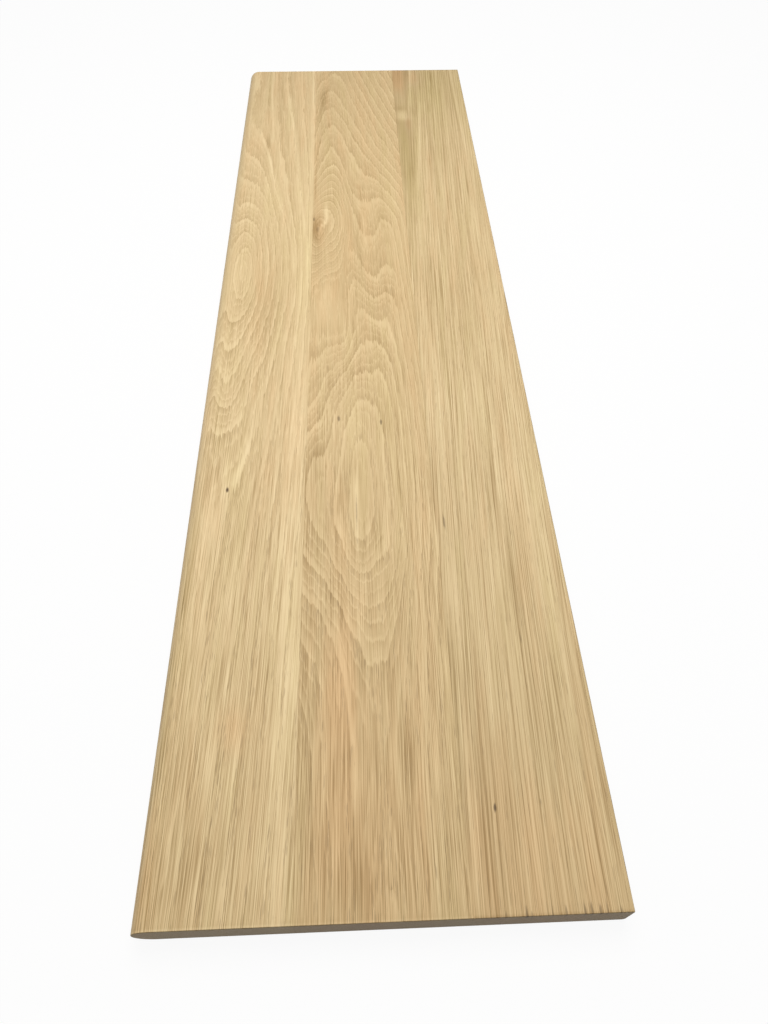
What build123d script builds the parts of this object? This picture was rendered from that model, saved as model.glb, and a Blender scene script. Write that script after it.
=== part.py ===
from build123d import *
import os

# Solid oak stair tread, edge-glued from three staves, lying as it is walked on.
# X runs along the tread. The nosing is at -Y and the back edge, which meets the riser
# above, is at +Y. Z is up. The origin is under the middle of the tread, on its underside.
# All sizes are in millimetres.

# The glued blank
tread_length = 1066.8
tread_thickness = 25.4
nosing_stave_width = 94.3
middle_stave_width = 104.0
back_stave_width = 93.8

# Worked edges: the top arris at the back is barely broken, and the lower one is eased
back_top_ease = 1.6
back_bottom_ease = 3.2
end_ease = 0.5

# A full bullnose turns through half a circle, from the top face to the underside
nosing_radius = tread_thickness / 2

# Where the staves start and stop across the tread
tread_width = nosing_stave_width + middle_stave_width + back_stave_width
nosing_y = -tread_width / 2
first_joint_y = nosing_y + nosing_stave_width
second_joint_y = first_joint_y + middle_stave_width
back_y = second_joint_y + back_stave_width

half_length = tread_length / 2


def end_rim(stave, *joints_y):
    """The edges round both sawn ends of a stave, leaving out those on its glue joints."""
    rim = stave.faces().filter_by(Axis.X).edges()
    for joint_y in joints_y:
        rim -= rim.filter_by_position(Axis.Y, joint_y, joint_y)
    return rim


# Front stave, with the bullnose that overhangs the riser below
with BuildPart() as nosing_stave:
    with BuildSketch(Plane.YZ):
        with BuildLine():
            flats = Polyline(
                (nosing_y + nosing_radius, 0),
                (first_joint_y, 0),
                (first_joint_y, tread_thickness),
                (nosing_y + nosing_radius, tread_thickness),
            )
            TangentArc(flats @ 1, flats @ 0, tangent=flats % 1)
        make_face()
    extrude(amount=half_length, both=True)
    fillet(end_rim(nosing_stave, first_joint_y), end_ease)

# Middle stave, glued on both edges
with BuildPart() as middle_stave:
    with BuildSketch(Plane.YZ):
        with BuildLine():
            Polyline(
                (first_joint_y, 0),
                (second_joint_y, 0),
                (second_joint_y, tread_thickness),
                (first_joint_y, tread_thickness),
                close=True,
            )
        make_face()
    extrude(amount=half_length, both=True)
    fillet(end_rim(middle_stave, first_joint_y, second_joint_y), end_ease)

# Back stave, sawn square, with its two long outer arrises sanded round
with BuildPart() as back_stave:
    with BuildSketch(Plane.YZ):
        with BuildLine():
            Polyline(
                (second_joint_y, 0),
                (back_y, 0),
                (back_y, tread_thickness),
                (second_joint_y, tread_thickness),
                close=True,
            )
        make_face()
    extrude(amount=half_length, both=True)
    back_edges = back_stave.faces().sort_by(Axis.Y)[-1].edges().filter_by(Axis.X)
    lower_arris, upper_arris = back_edges.sort_by(Axis.Z)
    fillet(lower_arris, back_bottom_ease)
    fillet(upper_arris, back_top_ease)
    fillet(end_rim(back_stave, second_joint_y), end_ease)

nosing_stave.part.label = "nosing_stave"
middle_stave.part.label = "middle_stave"
back_stave.part.label = "back_stave"

os.makedirs("parts", exist_ok=True)
export_step(nosing_stave.part, "parts/nosing_stave.step")
export_step(middle_stave.part, "parts/middle_stave.step")
export_step(back_stave.part, "parts/back_stave.step")
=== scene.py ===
import math
import bpy
import numpy as np
from mathutils import Matrix, Vector


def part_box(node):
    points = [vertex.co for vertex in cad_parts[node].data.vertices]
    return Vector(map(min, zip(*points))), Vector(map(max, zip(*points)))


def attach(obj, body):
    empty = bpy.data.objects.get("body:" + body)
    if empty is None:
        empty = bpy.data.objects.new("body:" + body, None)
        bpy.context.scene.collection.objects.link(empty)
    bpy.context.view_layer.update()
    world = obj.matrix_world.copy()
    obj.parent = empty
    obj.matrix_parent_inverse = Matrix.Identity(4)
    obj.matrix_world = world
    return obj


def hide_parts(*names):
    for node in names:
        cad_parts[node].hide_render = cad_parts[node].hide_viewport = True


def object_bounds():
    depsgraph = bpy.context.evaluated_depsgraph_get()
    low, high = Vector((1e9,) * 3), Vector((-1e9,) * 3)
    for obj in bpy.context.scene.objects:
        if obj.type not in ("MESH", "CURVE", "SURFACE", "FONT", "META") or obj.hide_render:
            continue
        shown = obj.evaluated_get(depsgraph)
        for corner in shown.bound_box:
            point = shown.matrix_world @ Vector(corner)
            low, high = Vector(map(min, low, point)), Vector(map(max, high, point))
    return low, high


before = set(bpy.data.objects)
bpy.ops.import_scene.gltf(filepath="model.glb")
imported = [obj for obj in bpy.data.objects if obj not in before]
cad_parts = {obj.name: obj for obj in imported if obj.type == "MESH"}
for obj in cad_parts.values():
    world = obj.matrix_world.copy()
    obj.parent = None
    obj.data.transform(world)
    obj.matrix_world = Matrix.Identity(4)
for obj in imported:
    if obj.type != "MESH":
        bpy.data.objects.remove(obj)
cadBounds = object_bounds()
print("stage: frame loaded")

# The tread in metres: X along it (+X is the photo's near end), Y across it (the nosing is at -Y), Z up.
# Grain is placed in millimetres: along from the near end, across from the nosing, depth below the top.
lowCorner, highCorner = (Vector(corner) for corner in cadBounds)
treadLength = highCorner.x - lowCorner.x
treadWidth = highCorner.y - lowCorner.y
mm = 0.001

view = {
    "place": (0.6053, -0.0054, 0.5148),  # where the camera stands, in metres
    "boardToCamera": (-0.6400, 0.0187, 0.0352),  # a turn: its axis, as long as its angle in radians
    "lens": 26.81,  # millimetres, with the photo's long side as 36
    "longSide": 36.0,
    "clipStart": 0.01,
}

studio = {
    "lampSize": 0.9,
    "lampHeight": 1.25,
    "lampAlong": -0.10,  # a little towards the far end
    "lampPower": 13.0,
    "lampColour": (1.0, 0.99, 0.97),
    "skyStrength": 0.30,
    "floorSize": 14.0,
    "floorPaint": (0.96, 0.96, 0.96),
    "floorBounce": (0.55, 0.55, 0.55),  # what the floor gives back to the wood
    "floorGlow": 0.93,  # how much of the floor is plain white to the camera
}


def addCamera():
    # the board's frame has x across, y along and z up, so its x is our Y and its y is our -X
    boardToTread = Matrix(((0, -1, 0), (1, 0, 0), (0, 0, 1)))
    turn = Vector(view["boardToCamera"])
    boardToCamera = Matrix.Rotation(turn.length, 3, turn)
    facing = (boardToTread @ boardToCamera.transposed()).to_4x4()
    data = bpy.data.cameras.new("photoCamera")
    data.sensor_fit = "VERTICAL"
    data.sensor_height = view["longSide"]
    data.lens = view["lens"]
    data.clip_start = view["clipStart"]
    camera = bpy.data.objects.new("photoCamera", data)
    camera.matrix_world = Matrix.Translation(view["place"]) @ facing
    bpy.context.collection.objects.link(camera)
    bpy.context.scene.camera = camera


addCamera()
print("stage: camera placed")


# Small helpers for node trees

class Bench:
    # writes nodes into one tree, and hands back their output sockets
    def __init__(self, tree):
        self.tree = tree

    def node(self, kind, plugs=None, **settings):
        made = self.tree.nodes.new(kind)
        for name, value in settings.items():
            setattr(made, name, value)
        for key, value in (plugs or {}).items():
            self.plug(value, made.inputs[key])
        return made

    def plug(self, value, socket):
        if isinstance(value, bpy.types.NodeSocket):
            self.tree.links.new(value, socket)
        else:
            socket.default_value = value

    def maths(self, operation, first, second=0.0, clamp=False):
        made = self.node("ShaderNodeMath", {0: first, 1: second}, operation=operation, use_clamp=clamp)
        return made.outputs[0]

    def plus(self, first, second, clamp=False):
        return self.maths("ADD", first, second, clamp)

    def minus(self, first, second, clamp=False):
        return self.maths("SUBTRACT", first, second, clamp)

    def times(self, first, second, clamp=False):
        return self.maths("MULTIPLY", first, second, clamp)

    def vector(self, operation, first, second=(0, 0, 0)):
        made = self.node("ShaderNodeVectorMath", {0: first, 1: second}, operation=operation)
        return made.outputs["Value" if operation == "LENGTH" else "Vector"]

    def join(self, x, y, z):
        return self.node("ShaderNodeCombineXYZ", {0: x, 1: y, 2: z}).outputs[0]

    def split(self, vector):
        return self.node("ShaderNodeSeparateXYZ", {0: vector}).outputs

    def ramp(self, value, low, high, toLow=0.0, toHigh=1.0, smooth=True):
        # value from low..high to toLow..toHigh, held at both ends
        kind = "SMOOTHSTEP" if smooth else "LINEAR"
        made = self.node("ShaderNodeMapRange", {0: value, 1: low, 2: high, 3: toLow, 4: toHigh},
                         interpolation_type=kind, clamp=True)
        return made.outputs[0]

    def curve(self, value, points):
        # a smooth curve through the listed points over 0..1; its two ends come first in the list
        made = self.node("ShaderNodeFloatCurve", {"Factor": 1.0, "Value": value})
        line = made.mapping.curves[0]
        for place, point in enumerate(points):
            if place < 2:
                line.points[place].location = point
            else:
                line.points.new(*point)
        made.mapping.update()
        return made.outputs[0]

    def noise(self, vector, detail=2.0, roughness=0.5):
        # centred on 0, about -0.5..0.5, with lumps about one unit of the vector in size
        plugs = {"Vector": vector, "Scale": 1.0, "Detail": detail, "Roughness": roughness}
        made = self.node("ShaderNodeTexNoise", plugs, noise_dimensions="3D")
        return self.minus(made.outputs[0], 0.5)

    def mix(self, amount, first, second, blend="MIX"):
        plugs = {0: amount, 6: first, 7: (*second, 1)}
        return self.node("ShaderNodeMix", plugs, data_type="RGBA", blend_type=blend).outputs[2]

    def tint(self, amount, colour, tint):
        # multiplies the colour by the tint, to the amount given
        return self.mix(amount, colour, tint, "MULTIPLY")


# The staves: where each one's pith lay, how wide its rings are, and its own figure; places in millimetres

# A ring is its count and the (along, across) places that it passes on the top face. A patch is (along,
# across, half length, half width, amount), lighter or darker than the wood round it. Blushes are written
# alike and are redder, or greener below 0. The rings and streaks fade in the quiet places, and marks are
# small and dark, such as pin knots. A thread is one long light or dark line: its places, its half width and
# its amount. The wedge is a darker strip along the glue line: (along, across of its far side, amount). Lean
# is how far the fibres run across the board for each millimetre along, at the near end and at the far end.

staves = {
    "nosing_stave": {
        "slot": "nosing_oak",
        "pith": (20.0, 60.0),  # across, and depth
        "ringWidth": 3.0,
        "lean": (0.042, -0.040),
        "leanFrom": (6.0, 44.0),  # the fibres keep to the nose, and lean fully from here on
        "rings": {
            0.2: [(607, 24), (590, 24), (625, 24)],
            1: [(566, 24), (650, 22), (607, 33), (607, 14)],
            2: [(537, 23), (580, 36), (607, 38), (645, 34), (676, 22), (607, 7)],
            3: [(485, 22), (540, 38), (607, 43), (650, 41), (704, 23), (600, 1), (520, 6), (680, 6)],
            4: [(440, 21), (500, 37), (607, 50), (660, 46), (700, 40), (738, 24), (475, 7), (715, 6)],
            5: [(415, 20), (480, 40), (607, 57), (660, 53), (710, 46), (760, 36), (790, 22), (440, 6),
                (770, 6)],
            6: [(385, 18), (430, 42), (500, 55), (607, 64), (660, 60), (770, 42), (850, 20), (408, 5),
                (830, 6)],
            6.4: [(330, 12), (150, 12), (0, 12)],
            7: [(500, 64), (400, 53), (345, 42), (200, 26), (0, 24), (607, 71), (660, 68), (710, 61),
                (770, 51), (830, 40), (908, 22), (980, 14), (1060, 12)],
            8: [(500, 74), (400, 66), (300, 56), (150, 46), (0, 38), (607, 79), (700, 73), (820, 58),
                (900, 51), (1000, 43), (1060, 40)],
            9: [(500, 82), (400, 76), (300, 69), (150, 60), (0, 51), (607, 85), (700, 81), (760, 78),
                (820, 74), (900, 67), (980, 60), (1060, 57)],
            10: [(400, 86), (200, 74), (0, 64), (607, 91), (850, 84), (1000, 78), (1060, 76)],
            11: [(300, 90), (150, 82), (0, 76)],
            12: [(150, 92), (0, 87)],
        },
        "patches": [
            (611, 21, 38, 13, 0.13), (547, 50, 55, 16, -0.13), (28, 11, 40, 7, -0.10),
            (33, 29, 40, 5, -0.14), (180, 84, 330, 9, 0.13), (600, 86, 160, 6, 0.10),
            (1000, 45, 70, 11, -0.10), (760, 45, 60, 20, 0.06), (600, 45, 170, 70, -0.05),
            (170, 60, 120, 8, -0.05), (865, 36, 28, 3.5, -0.20), (620, 4, 300, 4, 0.08),
        ],
        "threads": [
            ([(316, 33), (335, 38), (350, 43), (362, 44)], 2.4, 0.26),
            ([(620, 75), (660, 72), (700, 65), (740, 57), (800, 46), (840, 38), (900, 25)], 1.3, 0.20),
            ([(690, 85), (760, 79), (820, 74), (900, 67), (980, 60)], 1.3, 0.22),
            ([(880, 41), (920, 40), (960, 37), (1000, 34), (1066, 33)], 1.5, 0.26),
            ([(930, 33), (980, 31), (1066, 30)], 1.2, -0.16),
            ([(600, 91), (860, 90), (1066, 90)], 2.0, 0.16),
            ([(0, 83), (100, 84), (210, 89), (330, 91)], 1.1, 0.24),
            ([(0, 87), (110, 89), (200, 92)], 0.9, 0.20),
            ([(40, 77), (160, 80), (300, 86), (420, 90)], 1.0, 0.24),
            ([(140, 73), (280, 77), (420, 83)], 0.9, 0.18), ([(60, 37), (180, 37), (260, 43)], 1.2, 0.16),
            ([(0, 53), (130, 54), (200, 58), (270, 63)], 1.2, 0.14), ([(0, 40), (35, 42)], 1.0, -0.14),
            ([(40, 36), (75, 36)], 1.4, -0.14), ([(270, 49), (310, 52), (345, 56)], 1.1, -0.16),
        ],
        "blushes": [(116, 52, 18, 10, 0.8), (30, 6, 60, 8, 0.5), (1020, 60, 40, 26, 0.4)],
        "quiet": [(607, 22, 45, 9, 0.4), (930, 22, 80, 16, 0.5), (700, 5, 300, 4, 0.5)],
        "marks": [(319, 31, 2.6, 1.1, 0.95)],
        "wood": {
            "colour": (0.765, 0.574, 0.313),
            "ring": 0.40,  # how strongly the rings show
            "ringFrom": (180.0, 460.0, 0.40),  # weaker up to the first place, and full from the second
            "thinRings": (3.0, 0.40, 0.26),  # thin rings in each ring, and their strength near and far
            "lines": 4.0,  # growth lines in each ring
            "line": 0.26,  # their strength
            "fine": 2.4,  # strength of the fine fibres
            "fineGrain": (60.0, 0.55),  # their length and width
            "streak": 0.50,
            "calm": (60.0, 600.0, 1.15, 0.40),  # two places along, and how strong the streaks are there
            "broad": 0.10,
            "pores": 0.40,
            "rays": 0.20,
            "arris": 0.22,  # a line along the edge at each end, against the face: lighter as a painted highlight, darker below 0
        },
    },
    "middle_stave": {
        "slot": "middle_oak",
        "pith": (140.0, 70.0),
        "ringWidth": 3.0,
        "lean": (0.012, -0.045),
        "rings": {
            # the knot on the glue line has the lowest counts, and the long oval with its slit is next
            -1: [(690, 100)],
            -0.4: [(292, 136), (272, 136), (315, 136)],
            0: [(700, 107), (668, 104), (370, 141)],
            1: [(240, 138), (417, 143), (320, 122), (330, 160), (260, 163), (390, 160), (280, 116),
                (725, 103)],
            2: [(205, 140), (455, 150), (330, 171), (350, 110), (352, 98), (262, 112), (290, 97),
                (232, 160), (390, 116), (430, 130), (450, 165), (655, 113), (733, 112), (690, 125)],
            3: [(167, 140), (492, 142), (330, 177), (385, 97), (440, 117), (250, 98), (225, 112),
                (205, 124), (200, 165), (475, 168), (470, 130), (643, 110), (755, 115), (715, 128),
                (660, 124), (0, 145), (30, 150), (0, 157)],
            3.4: [(120, 142), (70, 146)],
            4: [(215, 98), (205, 108), (180, 118), (130, 127), (60, 131), (0, 130), (0, 166), (70, 163),
                (330, 184), (150, 168), (405, 98), (528, 157), (538, 149), (560, 142), (540, 166),
                (770, 115), (620, 114), (690, 130)],
            4.6: [(560, 136), (450, 98), (540, 176), (570, 150), (600, 98)],
            5: [(604, 137), (594, 133), (580, 180), (785, 115), (165, 98), (140, 108), (60, 114),
                (0, 118), (0, 172), (100, 172), (200, 179), (330, 190)],
            5.3: [(550, 113), (550, 98), (600, 108), (500, 110), (500, 98), (560, 122)],
            5.7: [(625, 136), (500, 128), (620, 142)],
            6: [(650, 141), (640, 137), (595, 160), (612, 148), (600, 127), (648, 163), (600, 178),
                (500, 189), (330, 196), (795, 115), (760, 97), (740, 130), (140, 98), (60, 105), (0, 109),
                (0, 178), (100, 178), (200, 186)],
            6.4: [(612, 155), (615, 166), (640, 152), (660, 132), (690, 134), (700, 142)],
            7: [(713, 142), (662, 153), (680, 149), (712, 171), (680, 184), (808, 114), (730, 137),
                (60, 97), (0, 101), (0, 186), (100, 187), (200, 194)],
            7.5: [(690, 160), (700, 166)],
            8: [(872, 114), (800, 97), (765, 135), (740, 150), (600, 192), (720, 181), (0, 194),
                (100, 196)],
            9: [(912, 113), (842, 97), (870, 101), (890, 128), (845, 142), (800, 158), (785, 167),
                (600, 197), (700, 195), (760, 180)],
            10: [(957, 113), (900, 96), (930, 127), (900, 137), (850, 152), (800, 170)],
            11: [(1012, 113), (960, 98), (985, 101), (1004, 107), (960, 131), (900, 147), (850, 163),
                 (795, 184)],
            12: [(1048, 113), (1030, 98), (1060, 125), (1000, 138), (950, 148), (900, 160), (840, 179)],
            13: [(1060, 134), (1000, 147), (950, 158), (900, 171), (850, 187)],
            14: [(1060, 143), (1000, 156), (950, 168), (900, 182)],
            15: [(1060, 153), (1000, 166), (900, 192)],
            16: [(1060, 163), (1000, 176), (950, 189)],
            17: [(1060, 172), (1000, 186)],
            18: [(1060, 182), (1020, 192)],
            19: [(1060, 192)],
        },
        "patches": [
            (150, 98, 130, 7, -0.13), (14, 133, 16, 7, -0.16), (10, 151, 18, 6, 0.06),
            (178, 137, 18, 9, 0.10), (60, 130, 120, 40, -0.05), (383, 136, 38, 14, 0.12),
            (600, 146, 170, 70, -0.05), (278, 133, 48, 5, 0.04), (555, 108, 75, 13, 0.13),
            (355, 103, 20, 6, -0.16), (305, 122, 26, 7, -0.12), (110, 166, 90, 4, -0.13),
            (90, 181, 110, 5, 0.06), (700, 186, 110, 9, 0.08), (970, 104, 50, 5, -0.14),
            (684, 99, 22, 6, -0.46), (620, 104, 30, 6, -0.08), (640, 99, 45, 5, -0.12),
            (985, 106, 22, 6, -0.14),
        ],
        "threads": [
            ([(270, 136), (315, 136)], 1.6, 0.42),
            ([(688, 102), (695, 108), (705, 110), (716, 109)], 2.0, 0.55),
            ([(0, 178), (100, 178), (200, 182), (330, 187)], 1.2, 0.16),
            ([(80, 112), (150, 108), (172, 99)], 1.3, 0.20),
            ([(110, 130), (160, 126), (200, 118), (222, 104)], 1.3, 0.18),
            ([(662, 118), (680, 126), (705, 127), (728, 122)], 1.6, 0.14),
            ([(745, 96), (800, 96), (860, 99), (890, 105), (910, 111)], 1.1, -0.24),
            ([(930, 97), (980, 102), (1005, 109)], 2.2, -0.18),
            ([(660, 152), (700, 151), (725, 146)], 1.5, 0.20),
            ([(620, 147), (660, 142), (705, 148)], 1.3, -0.12),
            ([(0, 140), (22, 146), (34, 149)], 1.2, 0.18),
        ],
        "blushes": [(90, 121, 100, 13, 1.0), (40, 150, 60, 20, 0.4), (689, 97, 24, 7, 0.4)],
        "quiet": [
            (330, 141, 60, 13, 0.75), (205, 150, 50, 14, 0.4), (560, 110, 60, 14, 0.5),
            (628, 112, 26, 14, 0.6), (120, 150, 90, 16, 0.4), (770, 108, 40, 12, 0.3),
            (660, 172, 60, 12, 0.3),
        ],
        "marks": [
            (396, 122, 3.6, 1.3, 0.60), (391, 159, 3.2, 0.9, 0.65), (293, 136, 16, 0.5, 0.40),
            (684, 100, 5, 2.0, 0.32), (703, 95.5, 4, 1.0, 0.50),
        ],
        "wood": {
            "colour": (0.716, 0.525, 0.276),
            "ring": 0.42,
            "ringFrom": (40.0, 260.0, 0.40),
            "thinRings": (3.0, 0.35, 0.27),
            "lines": 4.0,
            "line": 0.22,
            "fine": 2.7,
            "fineGrain": (60.0, 0.5),
            "streak": 0.28,
            "calm": (80.0, 700.0, 1.15, 0.42),
            "broad": 0.10,
            "pores": 0.40,
            "rays": 0.22,
            "arris": 0.14,
        },
    },
    "back_stave": {
        "slot": "back_oak",
        "pith": (110.0, 110.0),
        "ringWidth": 2.2,
        "lean": (0.034, 0.040),
        "rings": {
            0: [(1050, 200), (900, 194)],
            6: [(700, 204), (1060, 218)],
            13: [(0, 199), (340, 212), (700, 225), (1060, 239)],
            20: [(0, 220), (500, 239), (1060, 260)],
            30: [(0, 250), (500, 269), (1060, 289)],
            43: [(0, 289), (300, 291)],
        },
        "patches": [
            (60, 211, 130, 5, -0.20), (110, 199, 140, 3, -0.14), (205, 251, 45, 2.5, -0.16),
            (430, 275, 330, 9, 0.10), (300, 232, 150, 6, 0.06), (600, 245, 130, 70, -0.06),
            (931, 208, 7, 10, 0.26), (941, 207, 9, 9, 0.26), (980, 247, 120, 8, -0.06),
            (1030, 250, 150, 60, -0.08), (956, 205, 6, 5, -0.14), (1015, 208, 40, 10, 0.06),
            (1000, 270, 80, 8, -0.08), (1045, 236, 45, 8, -0.05), (780, 226, 60, 5, -0.07),
            (944, 221, 16, 3.5, -0.10),
        ],
        "wedge": [
            (640, 203, -0.05), (700, 209, -0.07), (760, 213, -0.14), (800, 214, -0.24), (860, 215, -0.27),
            (930, 217, -0.26), (975, 218, -0.17), (1066, 222, -0.24),
        ],
        "threads": [
            ([(640, 212), (700, 213), (760, 216), (800, 219), (850, 223), (900, 227), (960, 231)],
             1.3, 0.24),
            ([(955, 216), (1000, 220), (1066, 224)], 1.2, 0.28),
            ([(800, 215), (830, 217), (880, 219), (940, 222), (1000, 226), (1066, 230)], 4.5, -0.14),
            ([(700, 210), (740, 211), (780, 213)], 1.1, -0.20),
            ([(720, 224), (800, 229), (880, 235)], 1.1, 0.20),
            ([(760, 238), (860, 243), (960, 249), (1066, 253)], 1.2, -0.22),
            ([(700, 246), (800, 251), (900, 256), (1000, 260)], 1.2, -0.20),
            ([(820, 234), (940, 240), (1066, 245)], 1.2, -0.20),
            ([(760, 274), (860, 278), (1066, 277)], 1.3, -0.24),
            ([(860, 281), (960, 281), (1066, 280)], 1.4, 0.20),
            ([(600, 264), (720, 266), (860, 268)], 1.2, -0.14),
            ([(100, 204), (260, 209), (420, 213)], 1.2, 0.20),
            ([(180, 222), (300, 227), (420, 236)], 1.3, 0.16), ([(20, 202), (60, 206)], 1.8, 0.20),
            ([(120, 277), (180, 279), (260, 281)], 2.0, 0.24),
            ([(250, 250), (340, 254), (420, 258)], 1.8, 0.18),
            ([(60, 246), (200, 251), (300, 256)], 1.2, -0.16),
        ],
        "blushes": [
            (20, 240, 70, 50, 0.6), (1040, 206, 40, 12, 1.6), (840, 206, 100, 9, -1.0),
            (915, 213, 20, 5, 0.7), (1020, 245, 110, 45, -0.8), (1045, 228, 30, 9, 1.4),
        ],
        "quiet": [
            (760, 206, 60, 7, 0.5), (860, 207, 70, 9, 0.8), (920, 207, 60, 9, 0.6),
            (1020, 209, 60, 9, 0.8),
        ],
        "marks": [
            (61, 218, 2.6, 1.0, 0.85), (281, 205, 7, 0.8, 0.55), (63, 247, 2.5, 0.5, 0.35),
            (177, 251, 4, 0.6, 0.35),
            # stains that the sawn end drew up the pores
            (0, 217, 3, 0.6, 0.35), (0, 229, 6, 0.9, 0.60), (0, 232, 3, 0.6, 0.40), (0, 244, 5, 0.6, 0.35),
            (0, 252, 5, 0.7, 0.45), (0, 263, 6, 0.8, 0.50), (0, 267, 8, 0.7, 0.55), (0, 272, 5, 0.9, 0.50),
            (0, 276, 6, 0.6, 0.40), (0, 284, 3, 0.8, 0.35),
        ],
        "wood": {
            "colour": (0.714, 0.535, 0.288),
            "ring": 0.40,
            "lines": 1.6,
            "line": 1.20,
            "fine": 2.3,
            "fineGrain": (90.0, 0.6),
            "streak": 0.65,
            "calm": (400.0, 1000.0, 0.92, 0.52),
            "broad": 0.40,
            "pores": 0.40,
            "rays": 0.14,
            "arris": -0.16,
        },
    },
}

figure = {
    "stretch": 5.0,  # the figure runs this much further along than across
    "reach": 30.0,  # millimetres across that count as 1 in its sums
    "slack": 0.02,  # how loosely the rings keep to their places
    "batch": 4000,  # places worked out at a time
    "threadEnd": 14.0,  # millimetres over which a thread comes in and dies away
    "wedgeEdge": 1.2,  # millimetres over which the wedge's far side fades
}


def cubes(places, centres):
    # distance cubed, a little softened, from each place to each centre
    gap = places[:, None, :] - centres[None, :, :]
    return ((gap * gap).sum(axis=2) + figure["slack"]) ** 1.5


def liftOver(stave, along, across):
    # how many rings the figure adds to a plain trunk of round rings, at each place on the board
    known = np.array([(*place, ring) for ring, places in stave["rings"].items() for place in places], float)
    pithAcross, pithDepth = stave["pith"]
    plain = (np.hypot(known[:, 1] - pithAcross, pithDepth) - pithDepth) / stave["ringWidth"]
    scale = np.array([1 / (figure["stretch"] * figure["reach"]), 1 / figure["reach"]])
    centres = known[:, :2] * scale

    # a smooth sheet through the known places: a tilted plane, and the cubed distance from each
    count = len(centres)
    flat = np.c_[np.ones(count), centres]
    system = np.zeros((count + 3, count + 3))
    system[:count, :count] = cubes(centres, centres) + np.eye(count) * figure["slack"]
    system[:count, count:] = flat
    system[count:, :count] = flat.T
    weights = np.linalg.solve(system, np.r_[known[:, 2] - plain, 0, 0, 0])
    places = np.c_[along, across] * scale
    lift = np.empty(len(places))
    for start in range(0, len(places), figure["batch"]):
        part = places[start:start + figure["batch"]]
        tilt = np.c_[np.ones(len(part)), part] @ weights[count:]
        lift[start:start + figure["batch"]] = cubes(part, centres) @ weights[:count] + tilt
    return lift


def patchesOver(patches, along, across):
    # soft-edged ovals, added up
    total = np.zeros(len(along))
    for middleAlong, middleAcross, halfLength, halfWidth, amount in patches:
        far = ((along - middleAlong) / halfLength) ** 2 + ((across - middleAcross) / halfWidth) ** 2
        total += amount * np.exp(-far)
    return total


def wedgeOver(wedge, along, across):
    # a darker ring that runs out along the glue line
    run, rise, amount = zip(*wedge)
    inside = (np.interp(along, run, rise) - across) / figure["wedgeEdge"]
    return np.interp(along, run, amount) * (0.5 + 0.5 * np.tanh(inside)) * (along > run[0])


def threadsOver(threads, along, across):
    # long soft lines, added up
    total = np.zeros(len(along))
    for places, halfWidth, amount in threads:
        run, rise = zip(*places)
        off = (across - np.interp(along, run, rise)) / halfWidth
        past = np.maximum(np.maximum(run[0] - along, along - run[-1]), 0) / figure["threadEnd"]
        total += amount * np.exp(-off * off - past * past)
    return total


# Stave shapes: an outline in the YZ plane, swept along X by geometry nodes; lengths in metres

shape = {
    "flatStep": 0.0011,  # between points on a flat
    "roundSteps": 32,  # in the bullnose
    "easeSteps": 5,  # in each eased edge
    "endEase": 0.0005,
    "backTopEase": 0.0016,
    "backBottomEase": 0.0032,
    "stations": 241,  # along the tread; an odd number keeps one in the middle
    "weld": 0.00001,  # points nearer than this become one
    "sharpFrom": 50.0,  # degrees between faces
}


def flatRun(start, end, outward):
    # points from start to end, leaving the end out
    steps = max(2, round((Vector(end) - Vector(start)).length / shape["flatStep"]))
    return [(Vector(start).lerp(Vector(end), i / steps), Vector(outward)) for i in range(steps)]


def roundRun(centre, radius, fromAngle, toAngle, steps):
    # points on an arc in the YZ plane, both ends included; angles in degrees from +Y
    points = []
    for i in range(steps + 1):
        angle = math.radians(fromAngle + (toAngle - fromAngle) * i / steps)
        outward = Vector((math.cos(angle), math.sin(angle)))
        points.append((Vector(centre) + radius * outward, outward))
    return points


def outlineOf(name):
    # (point, outward) pairs round a stave's section, from the low right corner, by way of the left side;
    # a glue face stays still where the ends are eased, so that the staves touch there
    low, high = (Vector(corner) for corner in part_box(name))
    left, right, bottom, top = low.y, high.y, low.z, high.z
    down, up, still = (0, -1), (0, 1), (0, 0)
    step = shape["flatStep"]
    points = []
    if name == "back_stave":
        lowEase, topEase = shape["backBottomEase"], shape["backTopEase"]
        points += flatRun((right - lowEase, bottom), (left, bottom), down)
        points += [(Vector((left, bottom)), Vector(down))]
        points += flatRun((left, bottom + step), (left, top), still)
        points += flatRun((left, top), (right - topEase, top), up)
        points += roundRun((right - topEase, top - topEase), topEase, 90, 0, shape["easeSteps"])
        points += flatRun((right, top - topEase - step), (right, bottom + lowEase), (1, 0))
        points += roundRun((right - lowEase, bottom + lowEase), lowEase, 0, -90, shape["easeSteps"])[:-1]
        return points
    points += [(Vector((right, bottom)), Vector(down))]
    if name == "nosing_stave":
        nose = (top - bottom) / 2
        points += flatRun((right - step, bottom), (left + nose, bottom), down)
        points += roundRun((left + nose, bottom + nose), nose, 270, 90, shape["roundSteps"])
        points += flatRun((left + nose + step, top), (right, top), up)
    else:
        points += flatRun((right - step, bottom), (left, bottom), down)
        points += [(Vector((left, bottom)), Vector(down))]
        points += flatRun((left, bottom + step), (left, top), still)
        points += flatRun((left, top), (right, top), up)
    points += [(Vector((right, top)), Vector(up))]
    points += flatRun((right, top - step), (right, bottom), still)
    return points


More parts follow.
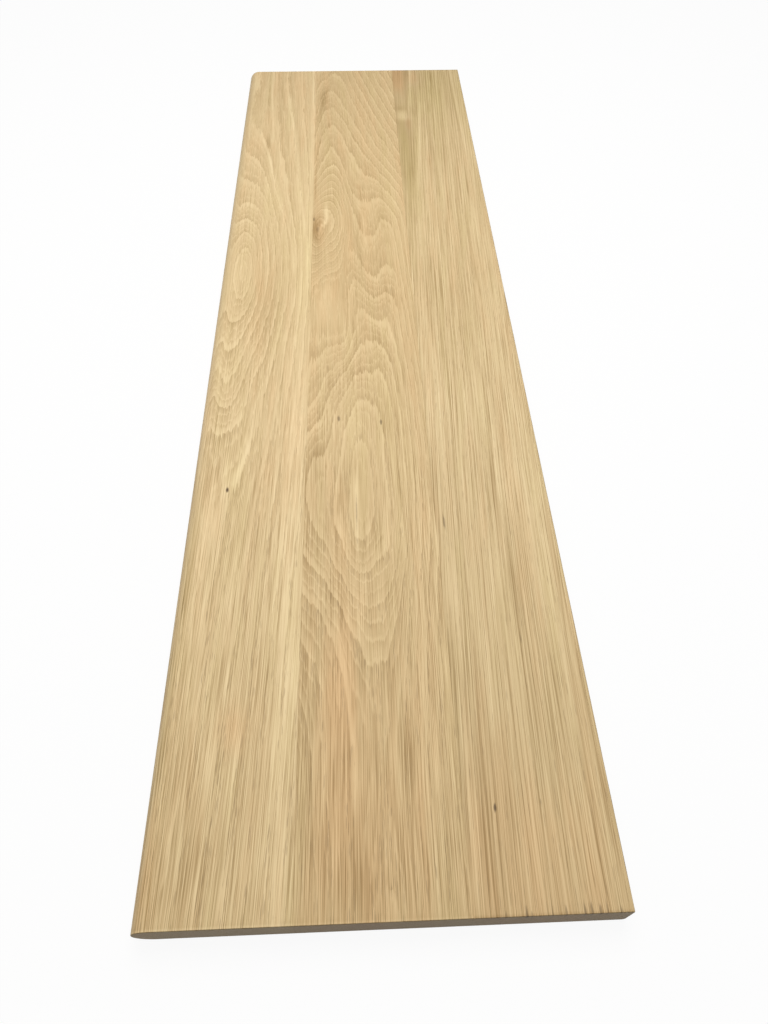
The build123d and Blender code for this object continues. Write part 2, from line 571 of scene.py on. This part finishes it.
def sweepTree():
    # sweeps an outline along X, rounds its ends and closes them
    tree = bpy.data.node_groups.new("sweptStave", "GeometryNodeTree")
    tree.is_modifier = True
    face = tree.interface
    face.new_socket(name="Geometry", in_out="INPUT", socket_type="NodeSocketGeometry")
    for name, kind in (("Length", "Float"), ("End Ease", "Float"), ("Stations", "Int"),
                       ("Ease Steps", "Int"), ("Material", "Material")):
        face.new_socket(name=name, in_out="INPUT", socket_type="NodeSocket" + kind)
    face.new_socket(name="Geometry", in_out="OUTPUT", socket_type="NodeSocketGeometry")
    bench = Bench(tree)
    given = bench.node("NodeGroupInput").outputs
    half = bench.times(given["Length"], 0.5)
    ease = given["End Ease"]

    # the spine's points bunch up in the eased ends
    spine = bench.node("GeometryNodeCurvePrimitiveLine", {"End": (1, 0, 0)}).outputs[0]
    spine = bench.node("GeometryNodeResampleCurve", {"Curve": spine, "Count": given["Stations"]}).outputs[0]
    index = bench.node("GeometryNodeInputIndex").outputs[0]
    last = bench.minus(given["Stations"], 1.0)
    fromEnd = bench.maths("MINIMUM", index, bench.minus(last, index))
    turned = bench.maths("DIVIDE", fromEnd, given["Ease Steps"], clamp=True)
    angle = bench.times(turned, math.pi / 2)
    inEase = bench.times(ease, bench.minus(1.0, bench.maths("COSINE", angle)))
    bodySteps = bench.minus(bench.times(last, 0.5), given["Ease Steps"])
    bodyStep = bench.maths("DIVIDE", bench.minus(half, ease), bodySteps)
    pastEase = bench.maths("MAXIMUM", bench.minus(fromEnd, given["Ease Steps"]), 0.0)
    distance = bench.plus(inEase, bench.times(pastEase, bodyStep))
    side = bench.maths("SIGN", bench.minus(index, bench.times(last, 0.5)))
    station = bench.times(side, bench.minus(half, distance))
    inset = bench.times(ease, bench.minus(1.0, bench.maths("SINE", angle)))
    for name, value in (("station", station), ("inset", inset)):
        spine = bench.node("GeometryNodeStoreNamedAttribute",
                           {"Geometry": spine, "Name": name, "Value": value}, domain="POINT").outputs[0]

    outline = bench.node("GeometryNodeMeshToCurve", {"Mesh": given["Geometry"]}).outputs[0]

    def named(name, kind):
        return bench.node("GeometryNodeInputNamedAttribute", {"Name": name}, data_type=kind).outputs[0]

    point = named("outlinePoint", "FLOAT_VECTOR")
    outward = named("outward", "FLOAT_VECTOR")

    def drawnIn(amount):
        # the outline, moved inwards by the amount
        made = bench.node("ShaderNodeVectorMath", {0: outward}, operation="SCALE")
        bench.plug(amount, made.inputs["Scale"])
        return bench.vector("SUBTRACT", point, made.outputs[0])

    skin = bench.node("GeometryNodeCurveToMesh", {"Curve": spine, "Profile Curve": outline}).outputs[0]
    skinStation = bench.join(named("station", "FLOAT"), 0.0, 0.0)
    skinPlace = bench.vector("ADD", drawnIn(named("inset", "FLOAT")), skinStation)
    skin = bench.node("GeometryNodeSetPosition", {"Geometry": skin, "Position": skinPlace}).outputs[0]

    # each end is filled flat in XY, then stood up
    parts = [skin]
    flat = bench.split(drawnIn(ease))
    lying = bench.node("GeometryNodeSetPosition",
                       {"Geometry": outline, "Position": bench.join(flat[1], flat[2], 0.0)}).outputs[0]
    filled = bench.node("GeometryNodeFillCurve", {"Curve": lying}).outputs[0]
    here = bench.split(bench.node("GeometryNodeInputPosition").outputs[0])
    for sign in (1.0, -1.0):
        end = bench.join(bench.times(half, sign), here[0], here[1])
        stood = bench.node("GeometryNodeSetPosition", {"Geometry": filled, "Position": end}).outputs[0]
        if sign < 0:
            stood = bench.node("GeometryNodeFlipFaces", {"Mesh": stood}).outputs[0]
        stood = bench.node("GeometryNodeSetShadeSmooth", {"Geometry": stood, "Shade Smooth": False})
        parts.append(stood.outputs[0])
    joined = bench.node("GeometryNodeJoinGeometry")
    for part in reversed(parts):
        tree.links.new(part, joined.inputs[0])
    closed = bench.node("GeometryNodeMergeByDistance",
                        {"Geometry": joined.outputs[0], "Distance": shape["weld"]}).outputs[0]
    plain = bench.node("GeometryNodeRealizeInstances", {"Geometry": closed}).outputs[0]
    done = bench.node("GeometryNodeSetMaterial", {"Geometry": plain, "Material": given["Material"]})
    tree.links.new(done.outputs[0], bench.node("NodeGroupOutput").inputs[0])
    return tree


def outlineMesh(name):
    # the outline as a closed loop of edges, with its place and its outward direction stored on it
    points = outlineOf(name)
    count = len(points)
    mesh = bpy.data.meshes.new(name + "_outline")
    mesh.from_pydata([(p.x, p.y, 0) for p, _ in points], [(i, (i + 1) % count) for i in range(count)], [])
    for label, vectors in (("outlinePoint", [p for p, _ in points]), ("outward", [n for _, n in points])):
        layer = mesh.attributes.new(label, "FLOAT_VECTOR", "POINT")
        layer.data.foreach_set("vector", [value for v in vectors for value in (0.0, v.x, v.y)])
    return mesh


def makeStave(name, tree, material):
    stave = staves[name]
    source = bpy.data.objects.new(name + "_outline", outlineMesh(name))
    bpy.context.collection.objects.link(source)
    modifier = source.modifiers.new("sweep", "NODES")
    modifier.node_group = tree
    given = {"Length": treadLength, "End Ease": shape["endEase"], "Stations": shape["stations"],
             "Ease Steps": shape["easeSteps"], "Material": material}
    for socket in tree.interface.items_tree:
        if socket.name in given:
            modifier[socket.identifier] = given[socket.name]
    seen = source.evaluated_get(bpy.context.evaluated_depsgraph_get())
    mesh = bpy.data.meshes.new_from_object(seen)
    source.modifiers.remove(modifier)
    bpy.data.objects.remove(source)
    for label in ("outlinePoint", "outward", "station", "inset"):
        if label in mesh.attributes:
            mesh.attributes.remove(mesh.attributes[label])
    places = np.empty(len(mesh.vertices) * 3)
    mesh.vertices.foreach_get("co", places)
    places = places.reshape(-1, 3)
    along = (highCorner.x - places[:, 0]) / mm
    across = (places[:, 1] - lowCorner.y) / mm
    tone = patchesOver(stave["patches"], along, across) + threadsOver(stave["threads"], along, across)
    if "wedge" in stave:
        tone += wedgeOver(stave["wedge"], along, across)
    for label, values in (("figureLift", liftOver(stave, along, across)),
                          ("figureTone", tone),
                          ("figureBlush", patchesOver(stave["blushes"], along, across)),
                          ("figureQuiet", patchesOver(stave["quiet"], along, across))):
        mesh.attributes.new(label, "FLOAT", "POINT").data.foreach_set("value", values)
    mesh.set_sharp_from_angle(angle=math.radians(shape["sharpFrom"]))
    piece = bpy.data.objects.new("oak_" + name, mesh)
    bpy.context.collection.objects.link(piece)
    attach(piece, "root")
    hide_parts(name)
    return piece


# Oak, as a solid: rings round a pith, pores along the trunk and rays out from the pith

oak = {
    "darkFigure": (0.60, 0.54, 0.43),  # against the stave's own colour
    "lightFigure": (1.26, 1.33, 1.45),
    "blush": (1.060, 0.958, 0.920),
    "olive": (0.960, 1.000, 0.905),
    "nearShadeTint": (0.965, 0.945, 0.890),  # painted shade towards the near end, where the light falls off, and warmer there too
    "nearShadeTintTo": (20.0, 420.0),  # in full up to the first place along, and gone at the second
    "endGrainAndShade": (0.40, 0.378, 0.325),  # end grain against the face, darker still as painted shade on the ends
    "sawnFrom": (0.15, 0.45),  # millimetres from the end, over which it gives way to the face
    "endRings": 1.3,  # how much more the rings show on a sawn end
    "rim": (0.6, 2.2),  # and over which the painted line along the edge does
    "glueLine": -0.10,
    "glueLineWidth": (0.1, 0.6),  # millimetres from its middle
    "glueLineFrom": 1.0,  # millimetres in from the tread's own edges
    "figureDepth": (2.0, 20.0, 1.0, 0.25),  # threads and patches die away below the face

    # a ring is dark where it starts and lightest late; the curves run over one ring
    "ringShade": [(0.0, 0.20), (1.0, 0.20), (0.10, 0.22), (0.30, 0.36), (0.55, 0.44), (0.72, 0.56),
                  (0.85, 1.0), (0.94, 0.74)],
    "ringShadeMean": 0.47,
    "ringPores": [(0.0, 1.0), (1.0, 0.75), (0.28, 0.7), (0.5, 0.25), (0.85, 0.12)],  # their width
    "faintestRing": 0.5,  # against the boldest
    "thinRingsFrom": (80.0, 700.0),  # along: near up to the first, and far from the second
    "quietStreaks": 0.4,  # what is left of the streaks in a quiet place

    # length and width of each kind of grain, in millimetres
    "wanderGrain": (90.0, 12.0),
    "wander": 0.7,  # rings
    "rippleGrain": (22.0, 1.3),
    "ripple": (60.0, 500.0, 0.12, 0.5),  # the rings run straighter at the near end
    "faintGrain": (150.0, 22.0),
    "faint": (-0.25, 0.2, 0.35, 1.25),  # how strongly the rings show, in its dips and on its lumps
    "streakGrain": (220.0, 1.8),
    "broadGrain": (260.0, 7.0),
    "lineLength": 200.0,
    "lineNoise": (3.0, 0.62),  # detail and roughness
    "fineRoughness": 0.6,
    "driftGrain": (260.0, 22.0),  # of the colour, from redder to greener
    "drift": 1.6,
    "smallDriftGrain": (60.0, 8.0),
    "smallDrift": 1.0,

    "pore": (0.300, 0.195, 0.095),
    "poreGrain": (14.0, 0.75),
    "poreSize": 0.36,  # of its cell
    "poreEdge": (-0.07, 0.05),  # from inside a pore to outside it
    "poreRelief": (0.1, 0.3, -0.6, 0.0),  # the bottom of a pore lies below the fibres
    "ray": (0.470, 0.330, 0.180),
    "rayGrain": (9.0, 0.55),
    "rayDetail": 1.0,
    "rayEdge": (0.14, 0.24),  # the noise is a ray from here on
    "mark": (0.110, 0.062, 0.030),
    "markDepth": 6.0,  # millimetres
    "markGrain": (5.0, 1.2),
    "ragged": 1.2,  # how far the grain breaks up the edge of a mark
    "markEdge": (0.4, 1.4),  # in half sizes of the mark, from its dark middle to clear wood
    "roughness": 0.58,
    "specular": 0.3,
    "reliefDepth": 0.00004,  # metres
}


def oakMaterial(name):
    stave = staves[name]
    wood = stave["wood"]
    material = bpy.data.materials.new("oak_" + name)
    material.use_nodes = True
    tree = material.node_tree
    tree.nodes.clear()
    bench = Bench(tree)
    output = bench.node("ShaderNodeOutputMaterial")
    surface = bench.node("ShaderNodeBsdfPrincipled")
    tree.links.new(surface.outputs[0], output.inputs[0])

    # millimetres: along, across, depth
    coords = bench.node("ShaderNodeTexCoord")
    board = bench.node("ShaderNodeMapping", {
        "Vector": coords.outputs["Object"],
        "Scale": (-1 / mm, 1 / mm, -1 / mm),
        "Location": (highCorner.x / mm, -lowCorner.y / mm, highCorner.z / mm),
    }).outputs[0]
    along, across, depth = bench.split(board)
    fromEnd = bench.maths("MINIMUM", along, bench.minus(treadLength / mm, along))

    # the fibres lean across the board as they run
    nearLean, farLean = stave["lean"]
    bend = (farLean - nearLean) / (2 * treadLength / mm)
    lean = bench.times(along, bench.plus(bench.times(along, bend), nearLean))
    if "leanFrom" in stave:
        lean = bench.times(lean, bench.ramp(across, *stave["leanFrom"]))
    fibre = bench.join(along, bench.minus(across, lean), depth)

    def drawnOut(size):
        # the fibres' place, in lengths and widths of the grain
        length, width = size
        return bench.vector("MULTIPLY", fibre, (1 / length, 1 / width, 1 / width))

    def grain(size, roughness=0.5):
        return bench.noise(drawnOut(size), roughness=roughness)

    def weigh(*terms):
        # the sum of (weight, field) pairs
        total = None
        for weight, field in terms:
            part = bench.times(field, weight)
            total = part if total is None else bench.plus(total, part)
        return total

    # round the pith: how far out, and how far round
    pithAcross, pithDepth = stave["pith"]
    sideways = bench.minus(across, pithAcross)
    above = bench.minus(pithDepth, depth)
    radius = bench.maths("SQRT", bench.plus(bench.times(sideways, sideways), bench.times(above, above)))
    arc = bench.times(bench.maths("ARCTAN2", sideways, above), pithDepth)

    # ring count, with the figure and some wander
    lift, figured, blush, quiet = (
        bench.node("ShaderNodeAttribute", attribute_name=label).outputs["Fac"]
        for label in ("figureLift", "figureTone", "figureBlush", "figureQuiet"))
    plain = bench.maths("DIVIDE", bench.minus(radius, pithDepth), stave["ringWidth"])
    ripple = bench.ramp(along, *oak["ripple"])
    wander = weigh((oak["wander"], grain(oak["wanderGrain"])), (ripple, grain(oak["rippleGrain"])))
    rings = bench.plus(bench.plus(plain, lift), wander)

    def ringTone(count):
        # how far through its ring a place is, 0..1, and its shade there; some rings are fainter
        within = bench.maths("FRACT", count)
        light = bench.minus(bench.curve(within, oak["ringShade"]), oak["ringShadeMean"])
        chance = bench.node("ShaderNodeTexWhiteNoise", {"W": bench.maths("FLOOR", count)},
                            noise_dimensions="1D").outputs[0]
        strength = bench.ramp(chance, 0.0, 1.0, oak["faintestRing"], 1.0, smooth=False)
        return within, bench.times(light, strength)

    phase, shade = ringTone(rings)
    shade = bench.times(shade, bench.ramp(grain(oak["faintGrain"]), *oak["faint"]))
    strength = bench.times(bench.minus(1.0, quiet, clamp=True), wood["ring"])
    shade = bench.times(shade, strength)
    if "ringFrom" in wood:
        start, full, weaker = wood["ringFrom"]
        shade = bench.times(shade, bench.ramp(along, start, full, weaker, 1.0))
    if "thinRings" in wood:
        count, near, far = wood["thinRings"]
        thin = ringTone(bench.times(rings, count))[1]
        thin = bench.times(thin, bench.ramp(along, *oak["thinRingsFrom"], near, far))
        shade = bench.plus(shade, thin)

    # growth lines keep to the rings, and streaks to the fibres
    lineAt = bench.join(bench.times(along, 1 / oak["lineLength"]), bench.times(rings, wood["lines"]), 0.0)
    lines = bench.noise(lineAt, *oak["lineNoise"])
    fine = grain(wood["fineGrain"], roughness=oak["fineRoughness"])
    streaks = weigh((wood["line"], lines), (wood["fine"], fine),
                    (wood["streak"], grain(oak["streakGrain"])))
    quieted = bench.ramp(quiet, 0.0, 1.0, 1.0, oak["quietStreaks"], smooth=False)
    streaks = bench.times(streaks, quieted)
    calm = bench.ramp(along, *wood["calm"])
    tone = weigh((1.0, shade), (wood["broad"], grain(oak["broadGrain"])), (calm, streaks))

    # the rings show more on a sawn end, and the patches and threads belong to the face
    sawn = bench.ramp(fromEnd, *oak["sawnFrom"], 1.0, 0.0)
    tone = bench.plus(tone, bench.times(bench.times(shade, sawn), oak["endRings"]))
    figured = bench.times(figured, bench.ramp(depth, *oak["figureDepth"]))
    tone = bench.plus(bench.plus(tone, figured), 0.5)  # 0.5 is the stave's own colour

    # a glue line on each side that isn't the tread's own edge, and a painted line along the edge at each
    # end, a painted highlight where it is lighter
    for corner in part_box(name):
        side = (corner[1] - lowCorner.y) / mm
        fromEdge = min(side, treadWidth / mm - side)
        if fromEdge > oak["glueLineFrom"]:
            off = bench.maths("ABSOLUTE", bench.minus(across, side))
            tone = bench.plus(tone, bench.ramp(off, *oak["glueLineWidth"], oak["glueLine"], 0.0))
    # painted highlight along each end's edge on the face; on the back stave it is darker instead
    rim = bench.minus(bench.ramp(fromEnd, *oak["rim"], 1.0, 0.0), sawn, clamp=True)
    tone = bench.plus(tone, bench.times(rim, wood["arris"]), clamp=True)

    # from the darkest figure, through the stave's own colour, to the lightest
    colours = bench.node("ShaderNodeValToRGB", {"Fac": tone})
    stops = colours.color_ramp.elements
    for stop, share in ((stops[0], oak["darkFigure"]), (stops[1], oak["lightFigure"])):
        stop.color = (*[part * amount for part, amount in zip(wood["colour"], share)], 1)
    stops.new(0.5).color = (*wood["colour"], 1)

    # above 0 the wood is redder, and below it greener
    drift = weigh((1.0, blush), (oak["drift"], grain(oak["driftGrain"])),
                  (oak["smallDrift"], grain(oak["smallDriftGrain"])))
    redder = bench.plus(drift, 0.0, clamp=True)
    greener = bench.times(drift, -1.0, clamp=True)
    colour = bench.tint(redder, colours.outputs[0], oak["blush"])
    colour = bench.tint(greener, colour, oak["olive"])
    # painted shade: the near end darker, where the light falls off, and warmer as well
    colour = bench.tint(bench.ramp(along, *oak["nearShadeTintTo"], 1.0, 0.0), colour, oak["nearShadeTint"])

    # pores: long thin cells, thick on the ground where a ring starts
    cells = {"Vector": drawnOut(oak["poreGrain"]), "Scale": 1.0, "Randomness": 1.0}
    fromPore = bench.node("ShaderNodeTexVoronoi", cells, feature="F1",
                          voronoi_dimensions="3D").outputs["Distance"]
    poreSize = bench.times(bench.curve(phase, oak["ringPores"]), oak["poreSize"])
    pores = bench.ramp(bench.minus(fromPore, poreSize), *oak["poreEdge"], 1.0, 0.0)
    colour = bench.mix(bench.times(bench.times(pores, wood["pores"]), calm), colour, oak["pore"])

    # rays: thin dashes on a flat-sawn face
    rayLength, rayWidth = oak["rayGrain"]
    rayAt = bench.join(bench.times(along, 1 / rayLength), bench.times(arc, 1 / rayWidth),
                       bench.times(radius, 1 / rayLength))
    rays = bench.ramp(bench.noise(rayAt, oak["rayDetail"]), *oak["rayEdge"])
    colour = bench.mix(bench.times(rays, wood["rays"]), colour, oak["ray"])

    # pin knots and stains
    marked = 0.0
    ragged = bench.times(grain(oak["markGrain"]), oak["ragged"])
    for middleAlong, middleAcross, halfLength, halfWidth, amount in stave["marks"]:
        place = bench.vector("SUBTRACT", board, (middleAlong, middleAcross, 0))
        place = bench.vector("MULTIPLY", place, (1 / halfLength, 1 / halfWidth, 1 / oak["markDepth"]))
        far = bench.plus(bench.vector("LENGTH", place), ragged)
        marked = bench.maths("MAXIMUM", bench.ramp(far, *oak["markEdge"], amount, 0.0), marked)
    colour = bench.mix(marked, colour, oak["mark"])
    # the sawn ends: darker end grain, and painted shade on top of it
    colour = bench.tint(sawn, colour, oak["endGrainAndShade"])

    tree.links.new(colour, surface.inputs["Base Color"])
    surface.inputs["Roughness"].default_value = oak["roughness"]
    surface.inputs["Specular IOR Level"].default_value = oak["specular"]
    relief = bench.plus(fine, bench.ramp(fromPore, *oak["poreRelief"]))
    bump = bench.node("ShaderNodeBump", {"Height": relief, "Distance": oak["reliefDepth"], "Strength": 1.0})
    tree.links.new(bump.outputs[0], surface.inputs["Normal"])
    return material


sweep = sweepTree()
for staveName in staves:
    piece = makeStave(staveName, sweep, oakMaterial(staveName))
    print("stage:", piece.name, len(piece.data.polygons), "faces")


# Studio: a pale floor, a soft lamp above and an even sky

def addFloor():
    mesh = bpy.data.meshes.new("studioFloor")
    reach = studio["floorSize"] / 2
    mesh.from_pydata([(-reach, -reach, 0), (reach, -reach, 0), (reach, reach, 0), (-reach, reach, 0)], [],
                     [(0, 1, 2, 3)])
    floor = bpy.data.objects.new("studioFloor", mesh)
    bpy.context.collection.objects.link(floor)
    material = bpy.data.materials.new("studioFloor")
    material.use_nodes = True
    tree = material.node_tree
    tree.nodes.clear()
    bench = Bench(tree)
    output = bench.node("ShaderNodeOutputMaterial")
    path = bench.node("ShaderNodeLightPath").outputs
    seen = bench.maths("MAXIMUM", path["Is Camera Ray"],
                       bench.maths("MAXIMUM", path["Is Glossy Ray"], path["Is Transmission Ray"]))
    paint = bench.mix(seen, (*studio["floorBounce"], 1), studio["floorPaint"])
    matt = bench.node("ShaderNodeBsdfDiffuse", {"Color": paint})
    glow = bench.node("ShaderNodeEmission", {"Color": (1, 1, 1, 1), "Strength": 1.0})
    share = bench.times(seen, studio["floorGlow"])
    both = bench.node("ShaderNodeMixShader", {0: share, 1: matt.outputs[0], 2: glow.outputs[0]})
    tree.links.new(both.outputs[0], output.inputs[0])
    mesh.materials.append(material)


def addLamp():
    data = bpy.data.lights.new("softLamp", "AREA")
    data.shape = "SQUARE"
    data.size = studio["lampSize"]
    data.energy = studio["lampPower"]
    data.color = studio["lampColour"]
    lamp = bpy.data.objects.new("softLamp", data)
    lamp.location = (studio["lampAlong"], 0, studio["lampHeight"])
    bpy.context.collection.objects.link(lamp)


def addSky():
    world = bpy.data.worlds.new("studioSky")
    world.use_nodes = True
    tree = world.node_tree
    tree.nodes.clear()
    bench = Bench(tree)
    output = bench.node("ShaderNodeOutputWorld")
    path = bench.node("ShaderNodeLightPath").outputs
    strength = bench.maths("MAXIMUM", path["Is Camera Ray"], studio["skyStrength"])
    sky = bench.node("ShaderNodeBackground", {"Color": (1, 1, 1, 1), "Strength": strength})
    tree.links.new(sky.outputs[0], output.inputs[0])
    bpy.context.scene.world = world


addFloor()
addLamp()
addSky()
bpy.context.scene.view_settings.view_transform = "Standard"
print("stage: studio set")
